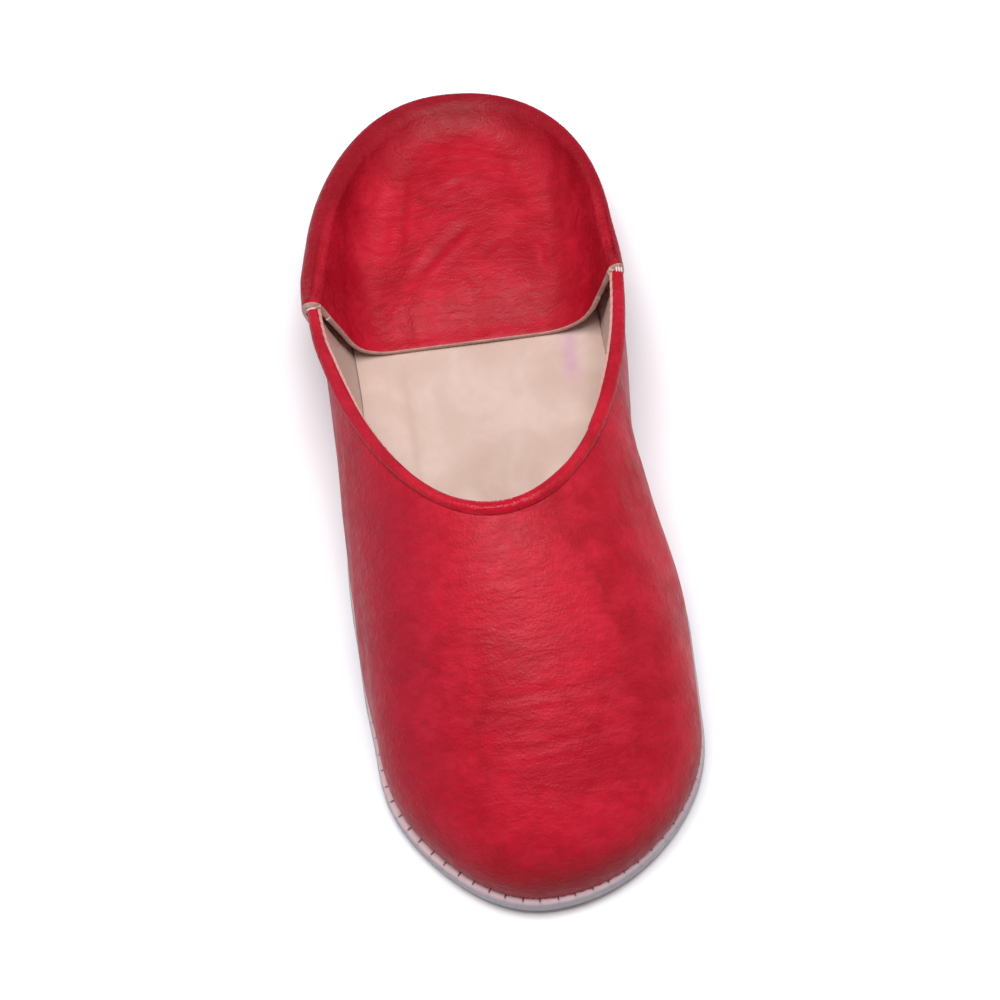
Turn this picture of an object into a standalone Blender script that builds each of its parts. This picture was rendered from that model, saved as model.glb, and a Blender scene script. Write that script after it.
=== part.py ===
"""Babouche slipper: a leather slipper for the right foot, its back folded down flat inside.

The toe points along -Y, the inner side of the foot is at +X and the floor is Z = 0.
The origin is on the floor under the middle of the slipper. All lengths are in metres.
"""
import bpy
import numpy as np

MM = 0.001
UP = np.array([0.0, 0.0, 1.0])

# Sole and insole
SOLE_LENGTH = 263.2 * MM
BALL_WIDTH = 95.5 * MM
SOLE_THICKNESS = 5.5 * MM
TOE_SPRING = 2.5 * MM
TOE_SPRING_LENGTH = 62 * MM
INSOLE_THICKNESS = 1.5 * MM

# Leather, and the clearance between pieces
UPPER_WALL = 1.8 * MM
FLAP_THICKNESS = 1.6 * MM
GAP = 0.3 * MM
SEAM_GAP = 0.4 * MM

# Edge of the sole left bare outside the upper, at the toe and at the sides
TOE_MARGIN_OUTER = 2.3 * MM
TOE_MARGIN_INNER = 1.1 * MM
SIDE_MARGIN = 1.2 * MM
TOE_MARGIN_LENGTH = 30 * MM
MARGIN_FADE = 40 * MM

# The collar: its throat is the front, its two back ends meet the side seams
THROAT_HEIGHT = 60 * MM
THROAT_FROM_TOE = 95.2 * MM
SEAM_HEIGHT = 36 * MM
SEAM_FROM_TOE = 180.2 * MM
COLLAR_HALF_WIDTH = 45.9 * MM
COLLAR_ROLL_RADIUS = 2.2 * MM
ROLL_END_RADIUS = 1.7 * MM
ROLL_END_SHARE = 0.3
COLLAR_BLUNTNESS = 1.12
COLLAR_CROWDING = 0.085

# Sideways shift of the collar and heel towards the outer side of the foot
SEAM_SHIFT = -2.8 * MM
HEEL_SHIFT = -1.1 * MM
HEEL_SHIFT_RUN = 80 * MM

# The back, folded over a ridge that falls from an arch at each seam to the heel
ARCH_RISE = 2.2 * MM
ARCH_RUN = 14 * MM
RIDGE_NARROWING = 1.3 * MM
NARROWING_RUN = 22 * MM
HEEL_RIDGE_HEIGHT = 12.5 * MM
RIDGE_BEHIND_SOLE = 1.5 * MM
RIDGE_TAPER_OUTER = 0.98
RIDGE_TAPER_INNER = 0.84
RIDGE_SQUARENESS = 2.25
BULGE_OUTER = 7.0 * MM
BULGE_INNER = 3.8 * MM
BULGE_START = 0.30

# The flap inside, from the ridge down on to the insole and forward to its raw edge
FLAP_EDGE_FROM_TOE = 179.2 * MM
FLAP_CORNER = 3.2 * MM
FLAP_CORNER_START = 0.76
FLAP_CORNER_RUN = 0.18
FLAP_SWELL = 2 * MM
SWELL_START = 10 * MM
SWELL_RUN = 20 * MM
TOP_RADIUS_BACK = 9 * MM
TOP_RADIUS_SIDE = 3.5 * MM
FOOT_RADIUS_BACK = 22 * MM
FOOT_RADIUS_OUTER = 8 * MM
FOOT_RADIUS_INNER = 14 * MM
SIDE_CHANGE = 20 * MM
STEEPEST = np.radians(74)

# Half widths of the sole in shares of the ball width, at stations in shares of the sole length
SOLE_TABLE = (
    # station, outer side, inner side
    (0.00, 0.397, 0.487),
    (0.12, 0.449, 0.512),
    (0.20, 0.464, 0.518),
    (0.26, 0.480, 0.520),
    (0.32, 0.487, 0.518),
    (0.38, 0.496, 0.486),
    (0.44, 0.493, 0.422),
    (0.52, 0.462, 0.419),
    (0.60, 0.428, 0.417),
    (0.70, 0.439, 0.405),
    (0.80, 0.445, 0.397),
    (1.00, 0.438, 0.390),
)
TOE_ROUND = 0.182
HEEL_ROUND = 0.170

# Side of the sole: inset and height in shares of its thickness
SOLE_SIDE_TABLE = (
    # inset, height
    (0.16, 0.00),
    (0.00, 0.14),
    (0.00, 0.68),
    (0.08, 0.90),
    (0.26, 1.00),
)

# Wall of the upper, from the side seams (0) round to the toe (1)
# Flares in shares of the ball width, rise and drop in shares of the wall's height there
VAMP_TABLE = (
    # place, outer flare, inner flare, rise, pull, drop
    (0.00, 0.068, 0.037, 0.55, 0.15, 0.24),
    (0.13, -0.010, 0.019, 0.48, 0.22, 0.25),
    (0.26, 0.021, 0.014, 0.44, 0.30, 0.25),
    (0.50, 0.056, 0.035, 0.39, 0.42, 0.22),
    (0.75, 0.052, 0.058, 0.37, 0.46, 0.205),
    (1.00, 0.021, 0.021, 0.405, 0.48, 0.22),
)

# Mesh steps
SOLE_STATIONS = 54
CURVE_POINTS = 240
VAMP_COLUMNS = 60
VAMP_ROWS = 10
ROLL_ROWS = 4
COUNTER_COLUMNS = 52
COUNTER_WALL_ROWS = 7
FLAP_ROWS = 14
FLAP_CROWDING = 1.6


def step(x):
    """Smooth rise from 0 to 1."""
    x = np.clip(x, 0.0, 1.0)
    return x * x * (3 - 2 * x)


def unit(vectors):
    return vectors / np.linalg.norm(vectors, axis=-1, keepdims=True)


def through(table, column, place):
    """A smooth curve through one column of a table, level at both ends."""
    stations = np.array([row[0] for row in table])
    values = np.array([row[column] for row in table])
    slopes = np.zeros(len(values))
    slopes[1:-1] = (values[2:] - values[:-2]) / (stations[2:] - stations[:-2])
    k = np.clip(np.searchsorted(stations, place) - 1, 0, len(stations) - 2)
    width = stations[k + 1] - stations[k]
    t = (place - stations[k]) / width
    near = (1 + 2 * t) * (1 - t) ** 2 * values[k] + t * (1 - t) ** 2 * width * slopes[k]
    far = t * t * (3 - 2 * t) * values[k + 1] - t * t * (1 - t) * width * slopes[k + 1]
    return near + far


def along_line(line, shares):
    """Points of a polyline at shares of its length."""
    lengths = np.linalg.norm(np.diff(line, axis=0), axis=1)
    run = np.concatenate([[0.0], np.cumsum(lengths)])
    return np.stack([np.interp(shares * run[-1], run, values) for values in line.T], axis=1)


def bezier(p0, p1, p2, p3, shares):
    """One curve for each row of points, as a grid of columns and rows."""
    t = shares[None, :, None]
    p0, p1, p2, p3 = (p[:, None, :] for p in (p0, p1, p2, p3))
    return (1 - t) ** 3 * p0 + 3 * (1 - t) ** 2 * t * p1 + 3 * (1 - t) * t * t * p2 + t ** 3 * p3


def grid_normals(grid):
    return unit(np.cross(np.gradient(grid, axis=0), np.gradient(grid, axis=1)))


def lifted(plan, height):
    """Plan points at one height."""
    return np.concatenate([plan, np.full((len(plan), 1), height)], axis=1)


def y_at(from_toe):
    return from_toe - SOLE_LENGTH / 2


def toe_lift(y):
    """Height of the sole over the floor: the toe springs up, the rest lies flat."""
    ahead = np.clip((y_at(TOE_SPRING_LENGTH) - y) / TOE_SPRING_LENGTH, 0, 1)
    return TOE_SPRING * ahead ** 2


def sideways(y):
    """Shift of the collar and heel, from none at the throat."""
    behind_throat = step((y - y_at(THROAT_FROM_TOE)) / (SEAM_FROM_TOE - THROAT_FROM_TOE))
    behind_seam = step((y - y_at(SEAM_FROM_TOE)) / HEEL_SHIFT_RUN)
    return SEAM_SHIFT * behind_throat + (HEEL_SHIFT - SEAM_SHIFT) * behind_seam


def sole_half_width(station, column):
    """Half width of the sole, with its toe and heel rounded as ellipses."""
    toe = np.clip(1 - station / TOE_ROUND, 0, 1)
    heel = np.clip(1 - (1 - station) / HEEL_ROUND, 0, 1)
    return BALL_WIDTH * through(SOLE_TABLE, column, station) * np.sqrt((1 - toe ** 2) * (1 - heel ** 2))


def bare_margin(plan):
    """Width of the sole's edge outside the upper, at points of the edge."""
    toe = step((y_at(TOE_MARGIN_LENGTH + MARGIN_FADE) - plan[..., 1]) / MARGIN_FADE)
    inner_side = step(plan[..., 0] / BALL_WIDTH + 0.5)
    toe_margin = TOE_MARGIN_OUTER + (TOE_MARGIN_INNER - TOE_MARGIN_OUTER) * inner_side
    return SIDE_MARGIN + (toe_margin - SIDE_MARGIN) * toe


def sole_outline(stations, inset):
    """Closed plan, from the toe up the inner side to the heel and back, with its outward directions."""
    station = (1 - np.cos(np.linspace(0, np.pi, stations + 1))) / 2
    y = (station - 0.5) * SOLE_LENGTH
    inner = np.stack([sole_half_width(station, 2), y], axis=1)
    outer = np.stack([-sole_half_width(station, 1), y], axis=1)
    loop = np.concatenate([inner, outer[-2:0:-1]])
    forward = unit(np.roll(loop, -1, axis=0) - np.roll(loop, 1, axis=0))
    outward = np.stack([forward[:, 1], -forward[:, 0]], axis=1)
    return loop - outward * np.reshape(inset(loop), (-1, 1)), outward


def foot_line(front):
    """Line where the upper meets the sole, outer seam to inner seam, with its outward directions."""
    ring = np.concatenate(sole_outline(CURVE_POINTS, bare_margin), axis=1)
    half = len(ring) // 2
    if front:
        limit = y_at(SEAM_FROM_TOE)
        ring = np.concatenate([ring[half:], ring[:half + 1]])
        kept = ring[ring[:, 1] < limit]
    else:
        limit = y_at(SEAM_FROM_TOE) + SEAM_GAP
        ring = ring[::-1]
        kept = ring[ring[:, 1] > limit]
    ends = kept[[0, -1]]
    ends[:, 1] = limit
    return np.concatenate([ends[:1], kept, ends[1:]])


def collar_line(shares):
    """Neck of the collar roll, from the outer seam over the throat to the inner seam."""
    depth = SEAM_FROM_TOE - THROAT_FROM_TOE
    long_axis = COLLAR_BLUNTNESS * depth
    widest = np.arccos(1 - depth / long_axis)
    turn = np.linspace(-widest, widest, CURVE_POINTS + 1)
    x = COLLAR_HALF_WIDTH * np.sin(turn) / np.sin(widest)
    behind = long_axis * (1 - np.cos(turn))
    y = y_at(THROAT_FROM_TOE) + behind
    z = THROAT_HEIGHT + (SEAM_HEIGHT - THROAT_HEIGHT) * behind / depth
    return along_line(np.stack([x + sideways(y), y, z], axis=1), shares)


def collar_roll(outer, inner, lean, place):
    """Rows that carry both faces of the wall round the rolled edge, which is thinner at its ends."""
    out = grid_normals(outer)[:, -1:]
    rise = unit(lean)[:, None, :]
    thicker = step(place / ROLL_END_SHARE)[:, None, None]
    radius = ROLL_END_RADIUS + (COLLAR_ROLL_RADIUS - ROLL_END_RADIUS) * thicker
    reach = np.sqrt(radius ** 2 - (UPPER_WALL / 2) ** 2)
    centre = outer[:, -1:] - out * UPPER_WALL / 2 + rise * reach
    start = -np.arcsin(reach / radius)
    turn = start + (np.pi / 2 - start) * np.linspace(0, 1, ROLL_ROWS + 2)[None, 1:-1, None]
    up = rise * np.sin(turn)
    crest = centre + rise * radius
    crest_out = crest + out * GAP / 2
    crest_in = crest - out * GAP / 2
    roll_out = centre + radius * (up + out * np.cos(turn))
    roll_in = centre + radius * (up - out * np.cos(turn))
    outer = np.concatenate([outer, roll_out, crest_out], axis=1)
    inner = np.concatenate([inner, roll_in, crest_in], axis=1)
    return outer, inner


def upper_faces():
    """Outer and inner face of the upper, in columns from the outer seam over the toe to the inner seam."""
    u = np.linspace(0, 1, VAMP_COLUMNS + 1)
    foot = along_line(foot_line(front=True), u)
    neck = collar_line(u + COLLAR_CROWDING * np.sin(2 * np.pi * u))
    place = 1 - np.abs(2 * u - 1)
    columns = [through(VAMP_TABLE, k, place)[:, None] for k in range(1, 6)]
    outer_flare, inner_flare, rise, pull, drop = columns
    flare = BALL_WIDTH * np.where(u[:, None] < 0.5, outer_flare, inner_flare)
    base = lifted(foot[:, :2], SOLE_THICKNESS + GAP)
    outward = lifted(foot[:, 2:], 0.0)
    height = neck[:, 2:] - base[:, 2:]
    level = (base - neck) * (1 - UP)
    shoulder = neck + level * pull - UP * drop * height
    belly = base + outward * flare + UP * rise * height
    outer = bezier(base, belly, shoulder, neck, np.linspace(0, 1, VAMP_ROWS + 1))
    inner = outer - UPPER_WALL * grid_normals(outer)
    inner[:, 0, 2] = base[:, 2]
    outer, inner = collar_roll(outer, inner, neck - shoulder, place)
    for face in (outer, inner):
        face[[0, -1], :, 1] = y_at(SEAM_FROM_TOE)
    return outer, inner


def ridge_line(shares):
    """Top of the folded back, from the outer seam round the heel to the inner seam."""
    start = y_at(SEAM_FROM_TOE) + SEAM_GAP
    back = SOLE_LENGTH / 2 + RIDGE_BEHIND_SOLE
    length = back - start
    turn = np.linspace(-np.pi / 2, np.pi / 2, CURVE_POINTS + 1)
    power = 2 / RIDGE_SQUARENESS
    taper = np.where(turn < 0, RIDGE_TAPER_OUTER, RIDGE_TAPER_INNER)
    x = COLLAR_HALF_WIDTH * np.sign(turn) * np.abs(np.sin(turn)) ** power
    y = back - length * taper * (1 - np.cos(turn) ** power)
    x = np.concatenate([[-COLLAR_HALF_WIDTH], x, [COLLAR_HALF_WIDTH]])
    y = np.concatenate([[start], y, [start]])
    x = x * (1 - RIDGE_NARROWING / COLLAR_HALF_WIDTH * step((y - start) / NARROWING_RUN))
    top = SEAM_HEIGHT + COLLAR_ROLL_RADIUS
    arch = ARCH_RISE * step(1 - (y - start) / ARCH_RUN)
    z = HEEL_RIDGE_HEIGHT + (top - HEEL_RIDGE_HEIGHT) * (back - y) / length + arch
    return along_line(np.stack([x + sideways(y), y, z], axis=1), shares)


def descent(distance, drop, top_radius, foot_radius):
    """Height lost by leather that turns over a ridge, falls and lands level."""
    turn = np.arccos(np.clip(1 - drop / (top_radius + foot_radius), -1, 1))
    turn = np.minimum(turn, STEEPEST)
    top_run = top_radius * np.sin(turn)
    foot_run = foot_radius * np.sin(turn)
    straight = np.maximum(drop - (top_radius + foot_radius) * (1 - np.cos(turn)), 0)
    middle = straight / np.tan(turn)
    over = np.minimum(distance, top_run)
    left = np.clip(top_run + middle + foot_run - distance, 0, foot_run)
    top_loss = top_radius - np.sqrt(top_radius ** 2 - over ** 2)
    slope_loss = np.tan(turn) * np.clip(distance - top_run, 0, middle)
    foot_loss = np.sqrt(foot_radius ** 2 - left ** 2) - foot_radius * np.cos(turn)
    return top_loss + slope_loss + foot_loss


def flap_height(plan):
    """Height of the flap's upper face over plan points, from how far they are inside the ridge."""
    ridge = ridge_line(np.linspace(0, 1, 2 * CURVE_POINTS + 1))
    points = plan.reshape(-1, 2)
    away = np.linalg.norm(points[:, None, :] - ridge[None, :, :2], axis=2)
    nearest = np.argmin(away, axis=1)
    distance = away[np.arange(len(points)), nearest]
    top = ridge[nearest, 2]
    to_side = np.abs(nearest / CURVE_POINTS - 1)
    inner_side = step((ridge[nearest, 0] + SIDE_CHANGE) / (2 * SIDE_CHANGE))
    foot_radius_side = FOOT_RADIUS_OUTER + (FOOT_RADIUS_INNER - FOOT_RADIUS_OUTER) * inner_side
    top_radius = TOP_RADIUS_BACK + (TOP_RADIUS_SIDE - TOP_RADIUS_BACK) * step(2 * to_side)
    foot_radius = FOOT_RADIUS_BACK + (foot_radius_side - FOOT_RADIUS_BACK) * step(1.6 * to_side)
    rest = SOLE_THICKNESS + GAP + INSOLE_THICKNESS + GAP + FLAP_THICKNESS
    behind_edge = step((points[:, 1] - y_at(FLAP_EDGE_FROM_TOE)) / SWELL_RUN)
    swell = FLAP_SWELL * step((distance - SWELL_START) / SWELL_RUN) * behind_edge
    height = top - descent(distance, top - rest, top_radius, foot_radius) + swell
    return height.reshape(plan.shape[:-1])


def flap_edge(shares):
    """Raw front edge of the flap: straight across the insole, then up behind each end of the roll."""
    seam = ridge_line(np.array([0.0, 1.0]))
    left = seam[0, 0] + FLAP_CORNER
    right = seam[1, 0] - FLAP_CORNER
    across = -np.cos(np.linspace(0, np.pi, CURVE_POINTS + 1))
    x = (left + right) / 2 + (right - left) / 2 * across
    forward = 1 - step((np.abs(across) - FLAP_CORNER_START) / FLAP_CORNER_RUN)
    back = seam[0, 1]
    y = back + (y_at(FLAP_EDGE_FROM_TOE) - back) * forward
    plan = np.stack([x, y], axis=1)
    return along_line(np.concatenate([plan, flap_height(plan)[:, None]], axis=1), shares)


def counter_faces():
    """Outer and inner face of the back: up the wall, over the ridge and down to the flap's edge."""
    u = np.linspace(0, 1, COUNTER_COLUMNS + 1)
    foot = along_line(foot_line(front=False), u)
    ridge = ridge_line(u)
    base = lifted(foot[:, :2], SOLE_THICKNESS + GAP)
    forward = unit(np.gradient(ridge[:, :2], axis=0))
    outward = lifted(np.stack([-forward[:, 1], forward[:, 0]], axis=1), 0.0)
    inner_side = step((ridge[:, :1] + 1.5 * SIDE_CHANGE) / (3 * SIDE_CHANGE))
    bulge = outward * (BULGE_OUTER + (BULGE_INNER - BULGE_OUTER) * inner_side)
    height = ridge[:, 2:] - base[:, 2:]
    belly = base + bulge + UP * height * BULGE_START
    wall = bezier(base, belly, ridge + bulge, ridge, np.linspace(0, 1, COUNTER_WALL_ROWS + 1))
    edge = flap_edge(u)
    inward = (np.arange(1, FLAP_ROWS + 1) / FLAP_ROWS) ** FLAP_CROWDING
    plan = ridge[:, None, :2] + (edge - ridge)[:, None, :2] * inward[None, :, None]
    flap = np.concatenate([plan, flap_height(plan)[:, :, None]], axis=2)
    outer = np.concatenate([wall, flap], axis=1)
    inner = outer + FLAP_THICKNESS * grid_normals(outer)
    inner[:, 0, 2] = base[:, 2]
    inner[[0, -1], :, 1] = outer[[0, -1], :, 1]
    return outer, inner


def leather(name, colour, roughness):
    material = bpy.data.materials.new(name)
    material.use_nodes = True
    shader = material.node_tree.nodes["Principled BSDF"]
    shader.inputs["Base Color"].default_value = (*colour, 1.0)
    shader.inputs["Roughness"].default_value = roughness
    return material


def enclosed_volume(vertices, faces):
    total = 0.0
    for face in faces:
        first = vertices[face[0]]
        for k in range(1, len(face) - 1):
            total += np.dot(first, np.cross(vertices[face[k]], vertices[face[k + 1]]))
    return total / 6


def solid(name, vertices, faces, material):
    """An object from a closed mesh, with its faces turned outward and its toe sprung."""
    vertices = vertices + UP * toe_lift(vertices[:, 1:2])
    if enclosed_volume(vertices, faces) < 0:
        faces = [face[::-1] for face in faces]
    mesh = bpy.data.meshes.new(name)
    mesh.from_pydata(vertices.tolist(), [], faces)
    mesh.materials.append(material)
    mesh.shade_smooth()
    piece = bpy.data.objects.new(name, mesh)
    bpy.context.collection.objects.link(piece)
    return piece


def sheet_solid(name, outer, inner, material):
    """A sheet of leather: two faces joined by a rim all round."""
    columns, rows = outer.shape[:2]
    vertices = np.concatenate([outer.reshape(-1, 3), inner.reshape(-1, 3)])
    index = np.arange(2 * columns * rows).reshape(2, columns, rows)
    faces = []
    for i in range(columns - 1):
        for j in range(rows - 1):
            ring = [(i, j), (i + 1, j), (i + 1, j + 1), (i, j + 1)]
            faces.append([int(index[0][at]) for at in ring])
            faces.append([int(index[1][at]) for at in ring[::-1]])
    rim = [(i, 0) for i in range(columns - 1)]
    rim += [(columns - 1, j) for j in range(rows - 1)]
    rim += [(i, rows - 1) for i in range(columns - 1, 0, -1)]
    rim += [(0, j) for j in range(rows - 1, 0, -1)]
    for k, here in enumerate(rim):
        after = rim[(k + 1) % len(rim)]
        faces.append([int(v) for v in (index[1][here], index[1][after], index[0][after], index[0][here])])
    return solid(name, vertices, faces, material)


def plate_solid(name, loops, material):
    """A plate from outlines, bottom to top, each end closed by strips from side to side."""
    count = len(loops[0])
    half = count // 2
    faces = []
    for k in range(len(loops) - 1):
        for i in range(count):
            j = (i + 1) % count
            faces.append([k * count + i, k * count + j, (k + 1) * count + j, (k + 1) * count + i])
    top = (len(loops) - 1) * count
    strips = [[0, 1, count - 1]]
    strips += [[i, i + 1, count - i - 1, count - i] for i in range(1, half - 1)]
    strips += [[half - 1, half, half + 1]]
    for strip in strips:
        faces.append([top + i for i in strip])
        faces.append(strip[::-1])
    return solid(name, np.concatenate(loops), faces, material)


def build_outsole():
    loops = []
    for inset, height in SOLE_SIDE_TABLE:
        loop, _ = sole_outline(SOLE_STATIONS, lambda plan: np.full(len(plan), inset * SOLE_THICKNESS))
        loops.append(lifted(loop, height * SOLE_THICKNESS))
    return plate_solid("outsole", loops, leather("sole_leather", (0.50, 0.36, 0.33), 0.65))


def build_insole():
    loop, _ = sole_outline(SOLE_STATIONS, lambda plan: bare_margin(plan) + UPPER_WALL + 2 * GAP)
    low = SOLE_THICKNESS + GAP
    loops = [lifted(loop, low), lifted(loop, low + INSOLE_THICKNESS)]
    return plate_solid("insole", loops, leather("lining_leather", (0.75, 0.56, 0.46), 0.75))


def build_upper():
    return sheet_solid("upper", *upper_faces(), leather("upper_leather", (0.41, 0.014, 0.034), 0.45))


def build_heel_counter():
    return sheet_solid("heel_counter", *counter_faces(), leather("back_leather", (0.38, 0.012, 0.03), 0.45))


def centre_on_plan(pieces):
    """Put the origin under the middle of the whole slipper."""
    corners = np.array([vertex.co for piece in pieces for vertex in piece.data.vertices])
    middle = (corners.min(axis=0) + corners.max(axis=0)) / 2
    for piece in pieces:
        for vertex in piece.data.vertices:
            vertex.co.x -= middle[0]
            vertex.co.y -= middle[1]


def main():
    for old in list(bpy.data.objects):
        bpy.data.objects.remove(old, do_unlink=True)
    centre_on_plan([build_outsole(), build_insole(), build_upper(), build_heel_counter()])


main()
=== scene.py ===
"""Visual model of a red babouche slipper for the right foot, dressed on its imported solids.

Lengths are in metres in the solids' frame: toe along -Y, inner side of the foot at +X, floor at Z = 0.
Creases and marks are placed in shares of the leather they lie on: the way across it, then the way up it.
"""
import bpy
import numpy as np
from mathutils import Matrix, Vector


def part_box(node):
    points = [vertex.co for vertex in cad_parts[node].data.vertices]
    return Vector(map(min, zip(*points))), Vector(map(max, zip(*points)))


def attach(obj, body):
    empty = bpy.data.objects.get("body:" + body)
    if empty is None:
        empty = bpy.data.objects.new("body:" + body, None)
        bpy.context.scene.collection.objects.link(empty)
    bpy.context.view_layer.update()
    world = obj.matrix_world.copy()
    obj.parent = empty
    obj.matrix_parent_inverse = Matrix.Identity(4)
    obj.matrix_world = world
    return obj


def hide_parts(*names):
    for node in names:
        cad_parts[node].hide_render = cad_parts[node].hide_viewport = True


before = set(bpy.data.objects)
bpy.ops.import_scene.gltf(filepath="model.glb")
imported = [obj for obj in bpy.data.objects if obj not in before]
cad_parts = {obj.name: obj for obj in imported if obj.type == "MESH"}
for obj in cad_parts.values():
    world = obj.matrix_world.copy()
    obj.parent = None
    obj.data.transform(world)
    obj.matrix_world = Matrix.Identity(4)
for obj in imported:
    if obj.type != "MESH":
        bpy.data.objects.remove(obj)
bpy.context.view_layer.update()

MM = 0.001
UP = np.array([0.0, 0.0, 1.0])

# Sizes of the slipper
SOLE_LENGTH = 263.2 * MM
BALL_WIDTH = 95.5 * MM
SOLE_THICKNESS = 5.5 * MM
TOE_SPRING = 2.5 * MM
TOE_SPRING_LENGTH = 62 * MM
INSOLE_THICKNESS = 1.5 * MM
UPPER_WALL = 1.8 * MM
FLAP_THICKNESS = 1.6 * MM
GAP = 0.3 * MM
SEAM_GAP = 0.4 * MM
TOE_MARGIN_OUTER = 2.3 * MM
TOE_MARGIN_INNER = 1.1 * MM
SIDE_MARGIN = 1.2 * MM
TOE_MARGIN_LENGTH = 30 * MM
MARGIN_FADE = 40 * MM

# Collar
THROAT_HEIGHT = 60 * MM
THROAT_FROM_TOE = 95.2 * MM
SEAM_HEIGHT = 36 * MM
SEAM_FROM_TOE = 180.2 * MM
COLLAR_HALF_WIDTH = 45.9 * MM
COLLAR_ROLL_RADIUS = 2.2 * MM
ROLL_END_RADIUS = 1.7 * MM
ROLL_END_SHARE = 0.3
COLLAR_BLUNTNESS = 1.12
COLLAR_CROWDING = 0.085
SEAM_SHIFT = -2.8 * MM
HEEL_SHIFT = -1.1 * MM
HEEL_SHIFT_RUN = 80 * MM

# Folded back
ARCH_RISE = 2.2 * MM
ARCH_RUN = 14 * MM
RIDGE_NARROWING = 1.3 * MM
NARROWING_RUN = 22 * MM
HEEL_RIDGE_HEIGHT = 12.5 * MM
RIDGE_BEHIND_SOLE = 1.5 * MM
RIDGE_TAPER_OUTER = 0.98
RIDGE_TAPER_INNER = 0.84
RIDGE_SQUARENESS = 2.25
BULGE_OUTER = 7.0 * MM
BULGE_INNER = 3.8 * MM
BULGE_START = 0.30
FLAP_EDGE_FROM_TOE = 179.2 * MM
FLAP_CORNER = 3.2 * MM
FLAP_CORNER_START = 0.76
FLAP_CORNER_RUN = 0.18
FLAP_SWELL = 2 * MM
SWELL_START = 10 * MM
SWELL_RUN = 20 * MM
TOP_RADIUS_BACK = 9 * MM
TOP_RADIUS_SIDE = 3.5 * MM
FOOT_RADIUS_BACK = 22 * MM
FOOT_RADIUS_OUTER = 12 * MM
FOOT_RADIUS_INNER = 17 * MM
SIDE_CHANGE = 20 * MM
STEEPEST = np.radians(72)

SOLE_TABLE = (
    # station, outer side, inner side
    (0.00, 0.397, 0.487),
    (0.12, 0.449, 0.512),
    (0.20, 0.464, 0.518),
    (0.26, 0.480, 0.520),
    (0.32, 0.487, 0.518),
    (0.38, 0.496, 0.486),
    (0.44, 0.493, 0.422),
    (0.52, 0.462, 0.419),
    (0.60, 0.428, 0.417),
    (0.70, 0.439, 0.405),
    (0.80, 0.445, 0.397),
    (1.00, 0.438, 0.390),
)
TOE_ROUND = 0.182
HEEL_ROUND = 0.170

VAMP_TABLE = (
    # place, outer flare, inner flare, rise, pull, drop
    (0.00, 0.068, 0.037, 0.55, 0.15, 0.24),
    (0.13, -0.010, 0.019, 0.48, 0.22, 0.25),
    (0.26, 0.021, 0.014, 0.44, 0.30, 0.25),
    (0.50, 0.056, 0.035, 0.39, 0.42, 0.22),
    (0.75, 0.052, 0.058, 0.37, 0.46, 0.205),
    (1.00, 0.021, 0.021, 0.405, 0.48, 0.22),
)

# Side of the sole with its rounded lip: inset and height in shares of its thickness
SOLE_SIDE_TABLE = (
    # inset, height
    (0.16, 0.00),
    (0.07, 0.02),
    (0.01, 0.08),
    (0.00, 0.20),
    (0.00, 0.34),
    (0.00, 0.48),
    (0.00, 0.58),
    (0.01, 0.68),
    (0.03, 0.77),
    (0.07, 0.86),
    (0.13, 0.93),
    (0.21, 0.98),
    (0.32, 1.00),
    (0.46, 1.00),
    (0.62, 0.99),
)

# Leather thicknesses and edges
UPPER_LEATHER = 1.0 * MM
LINING_LEATHER = 0.7 * MM
LEATHER_TO_LINING = 0.02 * MM
RAW_EDGE_BULGE = 0.35 * MM
SIDE_BEVEL = 0.15 * MM
ARCH_BEVEL = 0.75 * MM
BEVEL_RUN = 6 * MM
CUT_FACE = 0.06 * MM
FOOTBED_OVERLAP = 0.15 * MM

# Sewing
STITCH_PITCH = 5.1 * MM
STITCH_PULL = 0.14 * MM
SOLE_THREAD_RADIUS = 0.15 * MM
SOLE_THREAD_DEPTH = 0.18 * MM
NOTCH_DEPTH = 0.25 * MM
NOTCH_DROP = 0.15 * MM
NOTCH_WIDTH = 0.28 * MM
SLIT_WIDTH = 0.20 * MM
SEAM_THREAD_RADIUS = 0.28 * MM
SEAM_THREAD_DEPTH = 0.30 * MM
SEAM_STITCH_STEP = 0.115
END_THREAD_RADIUS = 0.30 * MM
SCALLOP_PITCH = 3.3 * MM

# Edges inside the roll, in radians: the first three are how far past half a turn they lie
ROLL_TUCK = 0.6
LINING_TUCK = 1.2
SCALLOP_LOW = 0.12
SCALLOP_DEPTH = 0.50

# Soft unevenness of the leather; a pleat's width is a share of the collar
VAMP_SWELLS = 0.35 * MM
VAMP_RIPPLES = 0.10 * MM
SEAM_DIP = 0.7 * MM
SEAM_DIP_WIDTH = 2.2 * MM
ROLL_WAVER = 0.08 * MM
PLEAT_DEPTH = 0.18 * MM
PLEAT_WIDTH = 0.0016
LINING_PUCKERS = 0.30 * MM
FLAP_SWELLS = 0.40 * MM
FLAP_RIPPLES = 0.10 * MM
FOOTBED_SWELLS = 0.16 * MM
FOOTBED_LINE = 0.06 * MM

# Mesh steps
CURVE_POINTS = 480
VAMP_COLUMNS = 330
VAMP_ROWS = 104
ROLL_STEPS = 25
LINING_COLUMNS = 490
LINING_ROWS = 44
LINING_EDGE_STEPS = 9
COUNTER_COLUMNS = 300
COUNTER_WALL_ROWS = 34
FLAP_ROWS = 92
FLAP_CROWDING = 1.15
SOLE_COLUMNS = 1400
FOOTBED_COLUMNS = 170
FOOTBED_ROWS = 60
FOOTBED_END = 0.002


def step(x):
    """Smooth rise from 0 to 1."""
    x = np.clip(x, 0.0, 1.0)
    return x * x * (3 - 2 * x)


def hump(x):
    """Smooth hill of height 1 and half width about 1."""
    return np.exp(-x * x)


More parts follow.
